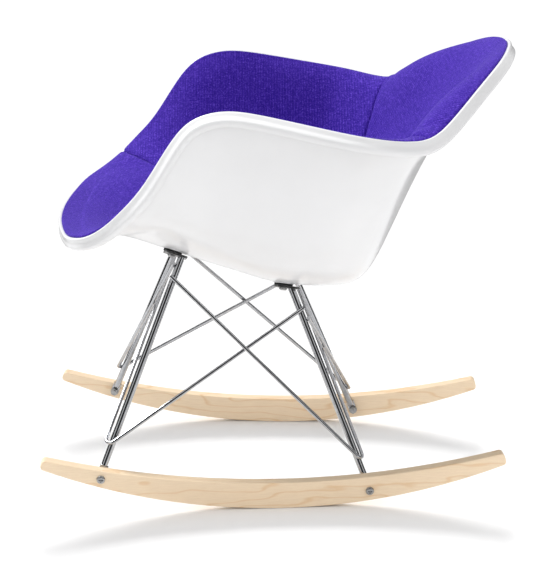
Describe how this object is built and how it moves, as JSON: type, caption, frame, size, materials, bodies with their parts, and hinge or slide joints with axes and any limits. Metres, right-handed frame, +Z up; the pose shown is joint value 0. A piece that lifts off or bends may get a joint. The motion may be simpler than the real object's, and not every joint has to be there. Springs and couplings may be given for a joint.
{
  "type": "rocking chair",
  "caption": "Rocking armchair: moulded bucket seat with rolled rim and sewn fabric liner, braced chrome rod base, and curved maple runners.",
  "frame": {"origin": "on the floor, under the middle of the bounding box; in the balanced pose the runners touch the floor 2.4 mm behind it", "axes": "+X to the sitter's left, -Y to the front, +Z up"},
  "size_m": [0.6362, 0.6831, 0.6403],
  "materials": {
    "shell": "white moulded plastic, satin to gloss",
    "cover": "violet-blue woven wool-type upholstery",
    "foam": "thin upholstery foam",
    "chrome": "bright chrome plate on steel rod",
    "maple": "pale maple, clear matt lacquer",
    "rubber": "black rubber",
    "plate": "plated steel tab",
    "fastener": "zinc-plated steel",
    "insert": "turned brass"
  },
  "bodies": {
    "root": {"brace_front_left": "chrome", "brace_front_right": "chrome", "brace_rear_left": "chrome", "brace_rear_right": "chrome", "cover_arm_left": "cover", "cover_arm_right": "cover", "cover_seat_back": "cover", "foam_arm_left": "foam", "foam_arm_right": "foam", "foam_seat_back": "foam", "leg_front_left": "chrome", "leg_front_right": "chrome", "leg_rear_left": "chrome", "leg_rear_right": "chrome", "mount_plate_front_left": "plate", "mount_plate_front_right": "plate", "mount_plate_rear_left": "plate", "mount_plate_rear_right": "plate", "rocker_left": "maple", "rocker_nut_front_left": "fastener", "rocker_nut_front_right": "fastener", "rocker_nut_rear_left": "fastener", "rocker_nut_rear_right": "fastener", "rocker_right": "maple", "rocker_screw_front_left": "fastener", "rocker_screw_front_right": "fastener", "rocker_screw_rear_left": "fastener", "rocker_screw_rear_right": "fastener", "rocker_washer_front_left": "fastener", "rocker_washer_front_right": "fastener", "rocker_washer_rear_left": "fastener", "rocker_washer_rear_right": "fastener", "seat_screw_front_left": "fastener", "seat_screw_front_right": "fastener", "seat_screw_rear_left": "fastener", "seat_screw_rear_right": "fastener", "seat_shell": "shell", "shock_spacer_front_left": "rubber", "shock_spacer_front_right": "rubber", "shock_spacer_rear_left": "rubber", "shock_spacer_rear_right": "rubber", "thread_insert_front_left": "insert", "thread_insert_front_right": "insert", "thread_insert_rear_left": "insert", "thread_insert_rear_right": "insert"}
  },
  "joints": []
}
